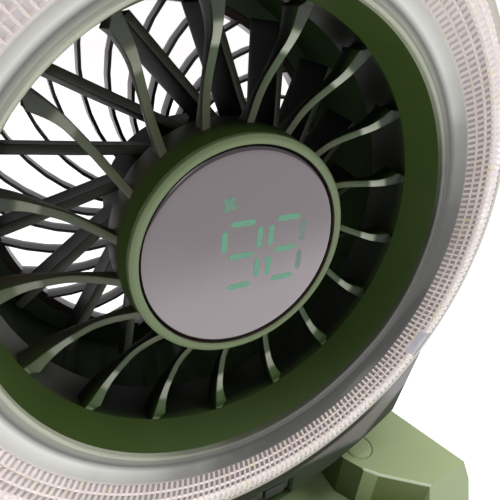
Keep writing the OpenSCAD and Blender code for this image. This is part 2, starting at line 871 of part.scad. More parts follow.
module power_switch() {
    color([0.1, 0.1, 0.1]) translate([button_pos[0], button_pos[1], switch_board_top]) {
        translate([-4, -switch_leg[1] - 1.5, -board_t])
            cube([switch_leg[0] + 7, 2 * switch_leg[1] + 4, board_t]);
        translate([-3, -3, 0]) cube([6, 6, switch_t]);
    }
}

module rubber_feet() {
    color([0.08, 0.08, 0.08]) corner_places(foot_pos) cylinder(r = foot_r, h = foot_h);
}

module base_screws() {
    color("silver") corner_places(screw_pos) {
        translate([0, 0, foot_h + 0.2]) cylinder(r = screw_head_r, h = 1.6);
        translate([0, 0, foot_h + 1.8 - eps]) cylinder(r = screw_r, h = 12);
    }
}

light_ring_lens();
led_board();
led_chips();
front_frame();
guard_funnel();
front_guard();
hub_rim();
display_lens();
display_windows();
display_module();
display_board();
rear_shell();
rear_guard();
motor_mount();
front_bearing();
rear_bearing();
stator_core();
stator_coils();
guard_screws();
shell_screws();
key_panel();
key_board();
key_power();
key_speed();
key_light();
impeller();
motor_shaft();
rotor_cup();
rotor_magnet();
shaft_clip();
base_shell();
base_plate();
hinge_pins();
hinge_washers();
battery_cells();
battery_tray();
cell_strips();
main_board();
port_board();
charge_port();
power_button();
power_switch();
rubber_feet();
base_screws();
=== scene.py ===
"""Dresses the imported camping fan: modelled pieces and finishes over its CAD frame."""

import math

import bmesh
import bpy
from bpy.props import FloatProperty, FloatVectorProperty, IntProperty, PointerProperty
from mathutils import Matrix, Vector


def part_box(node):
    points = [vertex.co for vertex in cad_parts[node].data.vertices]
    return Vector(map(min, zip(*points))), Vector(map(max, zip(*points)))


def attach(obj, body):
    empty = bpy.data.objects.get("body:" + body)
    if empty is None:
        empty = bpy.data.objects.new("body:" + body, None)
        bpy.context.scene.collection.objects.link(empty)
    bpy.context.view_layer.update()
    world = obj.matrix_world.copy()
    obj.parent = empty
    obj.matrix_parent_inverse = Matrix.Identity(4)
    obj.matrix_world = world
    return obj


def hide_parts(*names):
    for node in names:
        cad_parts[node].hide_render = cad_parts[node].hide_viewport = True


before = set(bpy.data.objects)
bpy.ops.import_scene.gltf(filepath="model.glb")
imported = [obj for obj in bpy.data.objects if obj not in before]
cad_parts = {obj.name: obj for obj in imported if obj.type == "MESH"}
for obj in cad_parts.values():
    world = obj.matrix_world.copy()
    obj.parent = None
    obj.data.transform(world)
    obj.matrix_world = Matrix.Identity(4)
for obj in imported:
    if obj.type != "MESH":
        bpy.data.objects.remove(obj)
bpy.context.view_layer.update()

bl_info = {
    "name": "Camping fan",
    "version": (1, 0, 0),
    "blender": (4, 5, 0),
    "location": "View3D > Sidebar > Camping fan",
    "description": "Models the visible pieces of a camping fan over its CAD frame",
    "category": "Object",
}

MM = 0.001

# The head's own frame: x to the right and y downwards as seen from the front, z to the rear,
# in millimetres, with its origin at the lip of the light ring.
RING_LOW, RING_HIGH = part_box("light_ring_lens")
RING_BACK = 1.5
RING_WIDTH = 20
RING_OUTER = (RING_HIGH[0] - RING_LOW[0]) / 2 / MM
LIP = RING_OUTER - RING_WIDTH
AXIS_HEIGHT = (RING_LOW[2] + RING_HIGH[2]) / 2
LIP_CENTRE = Vector((0, RING_HIGH[1] - RING_BACK * MM, AXIS_HEIGHT))
HEAD = Matrix.Translation(LIP_CENTRE) @ Matrix.Rotation(-math.pi / 2, 4, "X") @ Matrix.Scale(MM, 4)
AT_REST = Matrix.Identity(4)
# The way to the front, in the head's own frame and in the CAD frame
HEAD_FRONT = Vector((0, 0, -1))
CAD_FRONT = Vector((0, -1, 0))

# ---- Settings ----


def length(name, description, default):
    """A length property in metres."""
    return FloatProperty(name=name, description=description, default=default, unit="LENGTH",
                         precision=5, min=0.0)


def colour(name, description, default):
    """A colour property."""
    return FloatVectorProperty(name=name, description=description, default=default,
                               subtype="COLOR", size=3, min=0.0, max=1.0)


class RingSettings(bpy.types.PropertyGroup):
    """Sizes of the light ring's prisms."""

    columns: IntProperty(name="Columns", description="Prisms round the ring", default=252, min=24)
    pit_depth: length("Pit depth", "Depth of the square pits of the inner rows", 0.0008)
    bead_height: length("Bead height", "Height of the beads of the outer rows", 0.0004)


class GuardSettings(bpy.types.PropertyGroup):
    """Sizes of the guards and the impeller."""

    vanes: IntProperty(name="Vanes", description="Vanes of the front guard", default=17, min=3)
    vane_width: length("Vane width", "Thickness of a vane", 0.0023)
    vane_foot: length("Vane foot", "How much thicker a vane is at its outer end", 0.0018)
    blades: IntProperty(name="Blades", description="Blades of the impeller", default=17, min=3)
    blade_width: length("Blade width", "Thickness of a blade", 0.0026)


class ColourSettings(bpy.types.PropertyGroup):
    """Colours of the fan."""

    shell: colour("Shell", "Dark green of the head's shells", (0.030, 0.055, 0.018))
    guard: colour("Guard", "Deep green of the funnel and vanes", (0.040, 0.072, 0.013))
    rim: colour("Hub rim", "Light green of the rim round the display", (0.150, 0.200, 0.090))
    base: colour("Base", "Sage green of the base", (0.285, 0.345, 0.168))
    lens: colour("Display lens", "Mauve grey of the display", (0.165, 0.148, 0.155))
    digits: colour("Digits", "Mint green of the lit digits", (0.175, 0.560, 0.330))


# ---- Shader maths ----


class Socket:
    """A node output that takes Python arithmetic."""

    def __init__(self, finish, output):
        self.finish = finish
        self.output = output

    def _math(self, operation, first, second):
        return self.finish.node("ShaderNodeMath", {"operation": operation}, {0: first, 1: second})

    def __add__(self, other):
        return self._math("ADD", self, other)

    def __radd__(self, other):
        return self._math("ADD", other, self)

    def __sub__(self, other):
        return self._math("SUBTRACT", self, other)

    def __rsub__(self, other):
        return self._math("SUBTRACT", other, self)

    def __mul__(self, other):
        return self._math("MULTIPLY", self, other)

    def __rmul__(self, other):
        return self._math("MULTIPLY", other, self)

    def __pow__(self, other):
        return self._math("POWER", self, other)

    def __abs__(self):
        return self.finish.node("ShaderNodeMath", {"operation": "ABSOLUTE"}, {0: self})


class Finish:
    """A material under construction."""

    def __init__(self, name):
        self.material = bpy.data.materials.new(name)
        self.material.use_nodes = True
        self.tree = self.material.node_tree
        self.tree.nodes.clear()

    def node(self, kind, settings=None, values=None, output=0):
        """Adds a node, sets it up, joins its sockets and gives one of its outputs."""
        made = self.tree.nodes.new(kind)
        for key, value in (settings or {}).items():
            if key == "stops":
                self._set_stops(made, value)
            else:
                setattr(made, key, value)
        for key, value in (values or {}).items():
            self.join(made.inputs[key], value)
        return Socket(self, made.outputs[output])

    def _set_stops(self, ramp, stops):
        elements = ramp.color_ramp.elements
        while len(elements) < len(stops):
            elements.new(0.5)
        for element, (position, value) in zip(elements, stops):
            element.position = position
            element.color = (*value, 1) if isinstance(value, tuple) else (value, value, value, 1)

    def join(self, socket, value):
        """Links a socket, or sets its value."""
        if isinstance(value, Socket):
            self.tree.links.new(value.output, socket)
        elif socket.type == "RGBA":
            socket.default_value = (*value, 1)
        else:
            socket.default_value = value

    def place(self):
        """The piece's own coordinates, in metres."""
        return self.node("ShaderNodeTexCoord", output="Object")

    def noise(self, scale, detail=3, roughness=0.5, vector=None):
        """Noise from 0 to 1, with features about 1/scale metres across."""
        return self.node("ShaderNodeTexNoise", {"noise_dimensions": "3D"},
                         {"Vector": vector or self.place(), "Scale": scale, "Detail": detail,
                          "Roughness": roughness})

    def ramp(self, factor, *stops):
        """A ramp over a factor, from (position, value) pairs."""
        return self.node("ShaderNodeValToRGB", {"stops": stops}, {"Fac": factor})

    def span(self, value, low, high):
        """0 below low, 1 above high, smooth between."""
        return self.node("ShaderNodeMapRange", {"interpolation_type": "SMOOTHSTEP"},
                         {"Value": value, "From Min": low, "From Max": high})

    def split(self, vector):
        """The x, y and z of a vector."""
        made = self.tree.nodes.new("ShaderNodeSeparateXYZ")
        self.join(made.inputs[0], vector)
        return [Socket(self, output) for output in made.outputs]

    def head_place(self):
        """Radius and angle round the fan's axis, and depth behind the lip.

        Angle 0 is to the right and grows downwards.
        """
        offset = self.node("ShaderNodeVectorMath", {"operation": "SUBTRACT"},
                           {0: self.place(), 1: LIP_CENTRE}, output="Vector")
        x, depth, z = self.split(offset)
        radius = (x * x + z * z) ** 0.5
        angle = self.node("ShaderNodeMath", {"operation": "ARCTAN2"}, {0: z * -1.0, 1: x})
        return radius, angle, depth

    def towards(self, angle, degrees):
        """1 where an angle points one way, falling to -1 where it points the other way."""
        return self.node("ShaderNodeMath", {"operation": "COSINE"},
                         {0: angle - math.radians(degrees)})

    def mix(self, factor, a, b):
        """Mixes two colours."""
        made = self.tree.nodes.new("ShaderNodeMix")
        made.data_type = "RGBA"
        self.join(made.inputs[0], factor)
        self.join(made.inputs[6], a)
        self.join(made.inputs[7], b)
        return Socket(self, made.outputs[2])

    def bump(self, height, strength, distance):
        """A bump from a height."""
        return self.node("ShaderNodeBump", {}, {"Height": height, "Strength": strength,
                                                "Distance": distance}, output="Normal")

    def surface(self, **values):
        """Ends the material in a Principled shader, whose sockets are named with _ for a space."""
        shader = self.tree.nodes.new("ShaderNodeBsdfPrincipled")
        for key, value in values.items():
            self.join(shader.inputs[key.replace("_", " ")], value)
        out = self.tree.nodes.new("ShaderNodeOutputMaterial")
        self.tree.links.new(shader.outputs[0], out.inputs["Surface"])
        return self.material


def scaled(tint, amount):
    """A colour made lighter or darker."""
    return tuple(min(1.0, c * amount) for c in tint)


def moulded(name, tint, roughness=0.38, grain=2600, grain_depth=0.00003, coat=0.0,
            variation=0.12, shine=0.5):
    """Moulded plastic: faint mottling, uneven gloss and a fine grain."""
    finish = Finish(name)
    mottle = finish.noise(55, 4)
    fine = finish.noise(420, 2)
    base = finish.mix(mottle, scaled(tint, 1 - variation), scaled(tint, 1 + variation))
    gloss = roughness + (fine - 0.5) * 0.10 + (mottle - 0.5) * 0.12
    normal = finish.bump(finish.noise(grain, 2), 0.25, grain_depth)
    return finish.surface(Base_Color=base, Roughness=gloss, Normal=normal, Coat_Weight=coat,
                          Coat_Roughness=0.12, Specular_IOR_Level=shine)


def metal(name, tint, roughness=0.28, brush=900):
    """Turned or pressed metal with fine streaks."""
    finish = Finish(name)
    streaks = finish.noise(brush, 3)
    stain = finish.noise(90, 4)
    base = finish.mix(stain, scaled(tint, 0.82), scaled(tint, 1.05))
    normal = finish.bump(streaks, 0.2, 0.00002)
    return finish.surface(Base_Color=base, Roughness=roughness + (streaks - 0.5) * 0.18,
                          Metallic=1.0, Normal=normal)


# ---- Mesh helpers ----


def lathe(points, steps=160, closed=False):
    """A surface of revolution about z, from (radius, z) points."""
    bm = bmesh.new()
    verts = [bm.verts.new((r, 0, z)) for r, z in points]
    edges = [bm.edges.new(pair) for pair in zip(verts, verts[1:])]
    if closed:
        edges.append(bm.edges.new((verts[-1], verts[0])))
    bmesh.ops.spin(bm, geom=verts + edges, cent=(0, 0, 0), axis=(0, 0, 1), angle=math.tau,
                   steps=steps, use_merge=True)
    bmesh.ops.remove_doubles(bm, verts=bm.verts, dist=1e-4)
    return bm


def soften(bm, width, angle=28, segments=2, edges=None, material=-1):
    """Rounds the edges that are sharper than an angle, or the edges that it is given."""
    limit = math.radians(angle)
    chosen = edges or [e for e in bm.edges if e.is_manifold and e.calc_face_angle(0) > limit]
    bmesh.ops.bevel(bm, geom=chosen, offset=width, segments=segments, profile=0.5,
                    affect="EDGES", clamp_overlap=not edges, material=material)


def join_into(bm, other):
    """Adds another bmesh's geometry."""
    mesh = bpy.data.meshes.new("part")
    other.to_mesh(mesh)
    other.free()
    bm.from_mesh(mesh)
    bpy.data.meshes.remove(mesh)


def smooth_table(table, x):
    """A smooth curve through (x, y) points."""
    if x <= table[0][0]:
        return table[0][1]
    if x >= table[-1][0]:
        return table[-1][1]
    i = max(k for k in range(len(table) - 1) if table[k][0] <= x)
    x0, y0 = table[i]
    x1, y1 = table[i + 1]
    before = table[i - 1] if i else table[i]
    after = table[i + 2] if i + 2 < len(table) else table[i + 1]
    m0 = (y1 - before[1]) / (x1 - before[0])
    m1 = (after[1] - y0) / (after[0] - x0)
    t = (x - x0) / (x1 - x0)
    width = x1 - x0
    return ((2 * t**3 - 3 * t**2 + 1) * y0 + (t**3 - 2 * t**2 + t) * width * m0
            + (3 * t**2 - 2 * t**3) * y1 + (t**3 - t**2) * width * m1)


def add_piece(bm, name, body, materials, replaces=(), place=HEAD, sharp=32, flat=None):
    """Makes a finished piece of a bmesh: in place, riding on its body, smooth but for sharp edges.

    Faces larger than flat, in square metres, stay flat.
    """
    bmesh.ops.recalc_face_normals(bm, faces=bm.faces)
    mesh = bpy.data.meshes.new(name)
    bm.to_mesh(mesh)
    bm.free()
    mesh.transform(place)
    mesh.shade_smooth()
    mesh.set_sharp_from_angle(angle=math.radians(sharp))
    for face in mesh.polygons:
        if flat and face.area > flat:
            face.use_smooth = False
    for material in materials if isinstance(materials, (list, tuple)) else [materials]:
        mesh.materials.append(material)
    piece = bpy.data.objects.new(name, mesh)
    bpy.context.scene.collection.objects.link(piece)
    if replaces:
        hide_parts(*replaces)
    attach(piece, body)
    return piece


def merged_copy(node):
    """A CAD node's shape with its triangles merged."""
    bm = bmesh.new()
    bm.from_mesh(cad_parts[node].data)
    bmesh.ops.remove_doubles(bm, verts=bm.verts, dist=2e-6)
    bmesh.ops.dissolve_limit(bm, angle_limit=math.radians(1), verts=bm.verts, edges=bm.edges)
    return bm


def dressed_copy(node, width, angle=28, segments=2):
    """A CAD node's shape with its triangles merged and its edges rounded."""
    bm = merged_copy(node)
    soften(bm, width, angle, segments)
    return bm


def dress(node, name, body, material, width):
    """Puts a rounded copy of a CAD node in its place, with one finish."""
    add_piece(dressed_copy(node, width), name, body, material, replaces=[node],
              place=AT_REST)


def paint(node, material):
    """Gives a CAD node its finish."""
    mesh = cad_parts[node].data
    mesh.materials.clear()
    mesh.materials.append(material)


# ---- Stage ----

# Place and directions of the photograph's camera, from the circles of the ring and the hub.
EYE_FROM_LIP = Vector((-0.809, -1.239, 0.827))
EYE_RIGHT = Vector((0.875, -0.478, 0.078))
EYE_UP = Vector((0.157, 0.433, 0.887))
FOCAL_LENGTH = 30.24
# How much light the white background gives, and how much of it shows in glossy faces
WORLD_LIGHT = 0.20
WORLD_GLOSS = 0.27
# Lamps as (name, place, size in metres, power in watts)
LAMPS = [("key_lamp", (0.90, -0.30, 1.15), 0.5, 10), ("fill_lamp", (-0.60, -0.80, 1.0), 0.7, 2),
         ("top_lamp", (0.05, 0.10, 1.4), 0.7, 14)]
FLOOR_REACH = 6
# Distances from the fan over which the floor fades to plain white
FLOOR_FADE = (0.35, 1.6)


def white_world():
    """A world that shows white and lights at a plain level."""
    world = bpy.data.worlds.new("studio")
    bpy.context.scene.world = world
    world.use_nodes = True
    nodes, links = world.node_tree.nodes, world.node_tree.links
    nodes.clear()
    path = nodes.new("ShaderNodeLightPath")
    seen = nodes.new("ShaderNodeMath")
    seen.operation = "MAXIMUM"
    links.new(path.outputs["Is Camera Ray"], seen.inputs[0])
    links.new(path.outputs["Is Transmission Ray"], seen.inputs[1])
    shiny = nodes.new("ShaderNodeMath")
    shiny.operation = "MULTIPLY_ADD"
    links.new(path.outputs["Is Glossy Ray"], shiny.inputs[0])
    shiny.inputs[1].default_value = WORLD_GLOSS
    links.new(seen.outputs[0], shiny.inputs[2])
    shiny.use_clamp = True
    plain = nodes.new("ShaderNodeBackground")
    plain.inputs["Color"].default_value = (0.93, 0.95, 1.0, 1)
    plain.inputs["Strength"].default_value = WORLD_LIGHT
    white = nodes.new("ShaderNodeBackground")
    white.inputs["Color"].default_value = (1.0, 1.0, 1.0, 1)
    blend = nodes.new("ShaderNodeMixShader")
    links.new(shiny.outputs[0], blend.inputs[0])
    links.new(plain.outputs[0], blend.inputs[1])
    links.new(white.outputs[0], blend.inputs[2])
    out = nodes.new("ShaderNodeOutputWorld")
    links.new(blend.outputs[0], out.inputs["Surface"])


def add_lamp(name, place, target, size, power):
    """A soft square lamp that looks at a point."""
    data = bpy.data.lights.new(name, "AREA")
    data.size = size
    data.energy = power
    lamp = bpy.data.objects.new(name, data)
    lamp.location = place
    lamp.rotation_mode = "QUATERNION"
    lamp.rotation_quaternion = (Vector(target) - Vector(place)).to_track_quat("-Z", "Y")
    bpy.context.scene.collection.objects.link(lamp)


def floor_white():
    """White floor that keeps the shadow near the fan and fades to plain white far off."""
    finish = Finish("floor_white")
    away = finish.node("ShaderNodeVectorMath", {"operation": "LENGTH"}, {0: finish.place()},
                       output="Value")
    glow = finish.mix(finish.span(away, *FLOOR_FADE), (0.30, 0.30, 0.30), (0.80, 0.77, 0.77))
    return finish.surface(Base_Color=(0.90, 0.90, 0.90), Roughness=0.8, Emission_Color=glow,
                          Emission_Strength=1.0)


class CAMPFAN_OT_stage(bpy.types.Operator):
    """Add the floor, the soft lamps, the white background and the camera"""

    bl_idname = "campfan.stage"
    bl_label = "Stage"

    def execute(self, context):
        bm = bmesh.new()
        bmesh.ops.create_grid(bm, x_segments=2, y_segments=2, size=FLOOR_REACH)
        mesh = bpy.data.meshes.new("floor")
        bm.to_mesh(mesh)
        bm.free()
        mesh.materials.append(floor_white())
        floor = bpy.data.objects.new("floor", mesh)
        context.scene.collection.objects.link(floor)
        white_world()
        for name, place, size, power in LAMPS:
            add_lamp(name, place, LIP_CENTRE, size, power)
        data = bpy.data.cameras.new("camera")
        data.lens = FOCAL_LENGTH
        data.clip_start = 0.005
        camera = bpy.data.objects.new("camera", data)
        context.scene.collection.objects.link(camera)
        right = EYE_RIGHT.normalized()
        up = (EYE_UP - EYE_UP.dot(right) * right).normalized()
        turn = Matrix((right, up, right.cross(up))).transposed().to_4x4()
        camera.matrix_world = Matrix.Translation(LIP_CENTRE + EYE_FROM_LIP * LIP * MM) @ turn
        context.scene.camera = camera
        context.scene.view_settings.view_transform = "Standard"
        return {"FINISHED"}


# ---- Light ring ----

# Front of the ring from its lip to the prisms, as (radius beyond the lip, z)
LIP_PROFILE = [(0.0, 0.0), (0.25, -0.35), (0.8, -0.45), (1.2, -0.25), (1.6, -0.15), (2.6, -0.45),
               (3.7, -1.15), (4.8, -2.15), (5.5, -3.1), (5.9, -3.6), (6.2, -3.75)]
# Front of the prism band, and of the plain strip outside it
BAND_PROFILE = [(6.2, -3.75), (8.4, -5.35), (10.6, -6.5), (12.8, -7.2), (14.8, -7.4),
                (16.4, -7.1), (17.4, -6.8)]
STRIP_PROFILE = [(17.4, -6.8), (18.0, -7.05), (18.9, -7.1), (19.6, -6.85), (20.0, -6.3),
                 (20.0, RING_BACK), (0.0, RING_BACK), (0.0, 0.0)]
# Inner rows that are pits; the rows outside them are beads
PIT_ROWS = 3
PIT_RIM = 0.40
BEAD_GAP = 0.14
BEAD_SLOPE = 0.36
# A gate mark with no prisms, from one angle to the other, in degrees
GATE_SPAN = (28.6, 36.0)
# Middle of the ring's side with painted shade, and tints of its lip, hollow, flank, prism band
# and outer strip on the side with painted shade and on the side with painted light
SHADED_SIDE = math.radians(42)
SHADED_TINTS = (0.062, 0.060, 0.085, 0.100, 0.55)
BRIGHT_TINTS = (0.37, 0.105, 0.74, 0.56, 0.62)


def ring_tint(finish, share, lip, hollow, flank, band, strip):
    """Greys over the ring's width, from its lip to its outer strip, a little warm: painted light
    and shade that follow the ring's slopes, with painted shade in its hollow, and the outer
    strip's own pale tone.
    """
    return finish.ramp(share,
                       (0.02, (lip * 1.25, lip * 1.3, lip)),
                       (0.07, (lip, lip * 1.04, lip * 0.85)),
                       (0.14, (hollow * 1.05, hollow, hollow * 0.92)),
                       (0.20, (flank, flank, flank * 0.95)),
                       (0.29, (band, band * 0.98, band * 0.92)),
                       (0.86, (band, band * 0.98, band * 0.92)),
                       (0.90, (strip, strip * 0.93, strip * 0.82)),
                       (1.0, (strip * 0.9, strip * 0.82, strip * 0.68)))


def ring_plastic():
    """Clear plastic over a tray, with painted shade at the lower right and a painted reflection of
    light at the upper left.
    """
    finish = Finish("ring_plastic")
    radius, angle, _ = finish.head_place()
    streak = finish.noise(55, 3)
    away = abs(angle - SHADED_SIDE + (streak - 0.5) * 0.5)
    # Painted light by angle: painted shade on the shaded side, painted reflection away from it
    bright = finish.span(away, math.radians(42), math.radians(100))
    share = (radius - LIP * MM) * (1 / MM) * (1 / RING_WIDTH)
    base = finish.mix(bright, ring_tint(finish, share, *SHADED_TINTS),
                      ring_tint(finish, share, *BRIGHT_TINTS))
    return finish.surface(Base_Color=base, Roughness=0.20 + (finish.noise(300, 2) - 0.5) * 0.08,
                          Coat_Weight=0.35, Coat_Roughness=0.05, IOR=1.49)


def prism_plastic():
    """Bright faceted prisms with painted warm glints."""
    finish = Finish("prism_plastic")
    sparkle = finish.noise(900, 2)
    tint = finish.noise(120, 2)
    # Painted glints: warm yellow patches scattered over the prisms
    warm = finish.span(finish.noise(500, 1), 0.60, 0.72)
    base = finish.mix(tint, (0.84, 0.74, 0.72), (0.98, 0.92, 0.90))
    base = finish.mix(warm * 0.7, base, (0.98, 0.86, 0.58))
    return finish.surface(Base_Color=base, Roughness=0.20 + (sparkle - 0.5) * 0.2,
                          Coat_Weight=0.4, Coat_Roughness=0.08, IOR=1.49)


def pit_plastic():
    """Floors of the pits, darker than the prisms as painted shade: dark on the shaded side of the
    ring, pale with painted light on the other.
    """
    finish = Finish("pit_plastic")
    depth = finish.noise(700, 2)
    _, angle, _ = finish.head_place()
    # Painted light: the pit floors turn pale away from the shaded side
    pale = finish.span(abs(angle - SHADED_SIDE), math.radians(50), math.radians(130))
    # Painted shade in the pits, with a random tone
    base = finish.mix(depth, (0.15, 0.13, 0.125), (0.34, 0.30, 0.29))
    base = finish.mix(pale, base, (0.60, 0.56, 0.55))
    return finish.surface(Base_Color=base, Roughness=0.3, IOR=1.49)


def on_gate(face):
    """Whether a face of the ring lies on its gate mark."""
    centre = face.calc_center_median()
    return GATE_SPAN[0] < math.degrees(math.atan2(centre.y, centre.x)) < GATE_SPAN[1]


class CAMPFAN_OT_light_ring(bpy.types.Operator):
    """Model the clear light ring with its rows of prisms"""

    bl_idname = "campfan.light_ring"
    bl_label = "Light ring"

    def execute(self, context):
        ring = context.scene.campfan_ring
        columns = ring.columns
        body = lathe([(LIP + r, z) for r, z in LIP_PROFILE], steps=columns)
        join_into(body, lathe([(LIP + r, z) for r, z in STRIP_PROFILE], steps=columns))
        band = lathe([(LIP + r, z) for r, z in BAND_PROFILE], steps=columns)
        bmesh.ops.recalc_face_normals(band, faces=band.faces)
        if sum(f.normal.z for f in band.faces) > 0:
            bmesh.ops.reverse_faces(band, faces=band.faces)
        faces = sorted(band.faces, key=lambda f: f.calc_center_median().xy.length)
        gate = [f for f in faces[columns * (PIT_ROWS - 1):] if on_gate(f)]
        pits = [f for f in faces[:columns * PIT_ROWS] if f not in gate]
        beads = [f for f in faces[columns * PIT_ROWS:] if f not in gate]
        for face in band.faces:
            face.material_index = 1
        for face in gate:
            face.material_index = 3
        bmesh.ops.inset_individual(band, faces=pits, thickness=PIT_RIM,
                                   depth=-ring.pit_depth / MM, use_even_offset=True)
        for face in pits:
            face.material_index = 2
        bmesh.ops.inset_individual(band, faces=beads, thickness=BEAD_GAP,
                                   depth=0.0, use_even_offset=True)
        bmesh.ops.inset_individual(band, faces=beads, thickness=BEAD_SLOPE,
                                   depth=ring.bead_height / MM, use_even_offset=True)
        join_into(body, band)
        bmesh.ops.remove_doubles(body, verts=body.verts, dist=0.02)
        add_piece(body, "light_ring", "head",
                  [ring_plastic(), prism_plastic(), pit_plastic(),
                   moulded("gate_plastic", (0.40, 0.385, 0.43), roughness=0.3)],
                  replaces=["light_ring_lens"], sharp=24)
        return {"FINISHED"}


# ---- Front guard ----

# Plan of a vane: turn in degrees against radius in lip radii
VANE_PLAN = [(0.49, -6.8), (0.55, -4.4), (0.6, -2.7), (0.7, 0), (0.8, 1.7), (0.88, 2.5),
             (1.02, 2.6)]
# Depth of a vane's front edge, against radius, both in lip radii
VANE_EDGE = [(0.49, 0.245), (0.55, 0.266), (0.6, 0.282), (0.65, 0.290), (0.7, 0.289),
             (0.75, 0.277), (0.8, 0.262), (0.85, 0.245), (0.9, 0.230), (0.955, 0.214),
             (0.98, 0.21)]
VANE_REACH = (0.505 * LIP, LIP + 0.6)
# Radii over which a vane widens to its foot
VANE_FOOT = (0.82 * LIP, 0.95 * LIP)
# Painted light on a vane's front edge, against radius in lip radii: a pale painted reflection near
# the hub, a painted highlight on a facet, a dark end and a painted glint at the foot
VANE_EDGE_PAINTED_LIGHT = [(0.50, (0.115, 0.110, 0.075)), (0.60, (0.110, 0.120, 0.065)),
              (0.70, (0.040, 0.075, 0.018)), (0.785, (0.040, 0.075, 0.018)),
              (0.805, (0.46, 0.49, 0.39)), (0.865, (0.36, 0.39, 0.29)),
              (0.885, (0.050, 0.105, 0.014)), (0.966, (0.045, 0.090, 0.012)),
              (0.972, (0.30, 0.38, 0.22)), (1.0, (0.30, 0.38, 0.22))]
# Side of the guard, in degrees, whose deep walls and edges catch a brown light
BROWN_SIDE = 200
VANE_PHASE = 6.5
VANE_REAR = 21.5
VANE_STATIONS = 26
# Upright edges of a vane that are longer than this are divided
LONG_EDGE = 4
# Wall of the funnel with its ledge, and the duct behind, as (radius beyond the lip, z)
FUNNEL_PROFILE = [(-0.1, RING_BACK), (-0.3, 3), (-0.75, 7), (-1.2, 10.6), (-1.5, 13.1),
                  (-1.55, 13.6), (-1.4, 13.8), (0.0, 13.8), (0.0, 31), (1.5, 31), (1.5, 5.5),
                  (5.0, 5.5), (5.0, 3.5), (1.5, 3.5), (1.5, RING_BACK)]
HUB_PROFILE = [(30.5, 11.2), (32.9, 11.2), (33.6, 14.0), (34.3, 16.4), (34.5, 18.5), (34.5, 25.6),
               (34.0, 27.2), (32.8, 28.4), (31.0, 29.0), (0, 29), (0, 27), (30.5, 27)]


def vane_turn(radius):
    """How far a vane has turned at a radius, in degrees."""
    return smooth_table(VANE_PLAN, radius / LIP)


def curved_vane(thickness):
    """A curved upright plate from the hub cup to the funnel's wall."""
    bm = bmesh.new()
    inner, outer = VANE_REACH
    edge = []
    for station in range(VANE_STATIONS + 1):
        r = inner + (outer - inner) * station / VANE_STATIONS
        a = math.radians(vane_turn(r))
        depth = smooth_table(VANE_EDGE, r / LIP) * LIP
        edge.append(bm.verts.new((r * math.cos(a), r * math.sin(a), depth)))
    lines = [bm.edges.new(pair) for pair in zip(edge, edge[1:])]
    for made in bmesh.ops.extrude_edge_only(bm, edges=lines)["geom"]:
        if isinstance(made, bmesh.types.BMVert):
            made.co.z = VANE_REAR
    uprights = [e for e in bm.edges if abs(e.verts[0].co.z - e.verts[1].co.z) > LONG_EDGE]
    bmesh.ops.subdivide_edges(bm, edges=uprights, cuts=2, use_grid_fill=True)
    bmesh.ops.recalc_face_normals(bm, faces=bm.faces)
    bmesh.ops.solidify(bm, geom=bm.faces, thickness=thickness)
    return bm


def flare_foot(bm, amount):
    """Widens a vane towards its outer end, on its anticlockwise side as seen from the front."""
    start, end = VANE_FOOT
    lean = {v: math.atan2(v.co.y, v.co.x) - math.radians(vane_turn(v.co.xy.length))
            for v in bm.verts}
    middle = (min(lean.values()) + max(lean.values())) / 2
    for v, angle in lean.items():
        share = (v.co.xy.length - start) / (end - start)
        if angle < middle and share > 0:
            along = Vector((-v.co.y, v.co.x, 0)).normalized()
            v.co -= along * amount * min(1.0, share) ** 1.5


def mark_front(bm, axis=HEAD_FRONT, limit=0.6):
    """Gives the faces that look to the front the piece's second finish."""
    bmesh.ops.recalc_face_normals(bm, faces=bm.faces)
    bm.normal_update()
    for face in bm.faces:
        if face.normal.dot(axis) > limit:
            face.material_index = 1


def copies_around(bm, count, phase=0.0):
    """Repeats a bmesh round z."""
    bmesh.ops.rotate(bm, verts=bm.verts, cent=(0, 0, 0),
                     matrix=Matrix.Rotation(math.radians(phase), 3, "Z"))
    bmesh.ops.spin(bm, geom=bm.verts[:] + bm.edges[:] + bm.faces[:], cent=(0, 0, 0),
                   axis=(0, 0, 1), angle=math.tau * (count - 1) / count, steps=count - 1,
                   use_duplicate=True)


def guard_plastic(settings):
    """Satin deep green of the funnel and vanes, with painted shade that makes it nearly black deep
    inside and a painted brown light there on one side.
    """
    finish = Finish("guard_plastic")
    mottle = finish.noise(45, 4)
    fine = finish.noise(380, 2)
    lit = finish.mix(mottle, scaled(settings.guard, 0.82), scaled(settings.guard, 1.15))
    _, angle, depth = finish.head_place()
    # Painted shade deep inside the guard
    deep = finish.span(depth + (mottle - 0.5) * 0.004, 0.0135, 0.0185)
    # Painted brown light on the deep walls on the guard's brown side
    brown = finish.span(finish.towards(angle, BROWN_SIDE), 0.3, 0.85)
    dark = finish.mix(brown, scaled(settings.guard, 0.07), (0.060, 0.056, 0.034))
    gloss = 0.48 + (fine - 0.5) * 0.1 + (mottle - 0.5) * 0.1
    return finish.surface(Base_Color=finish.mix(deep, lit, dark), Roughness=gloss,
                          Normal=finish.bump(finish.noise(2400, 2), 0.2, 0.00003),
                          Specular_IOR_Level=0.35)


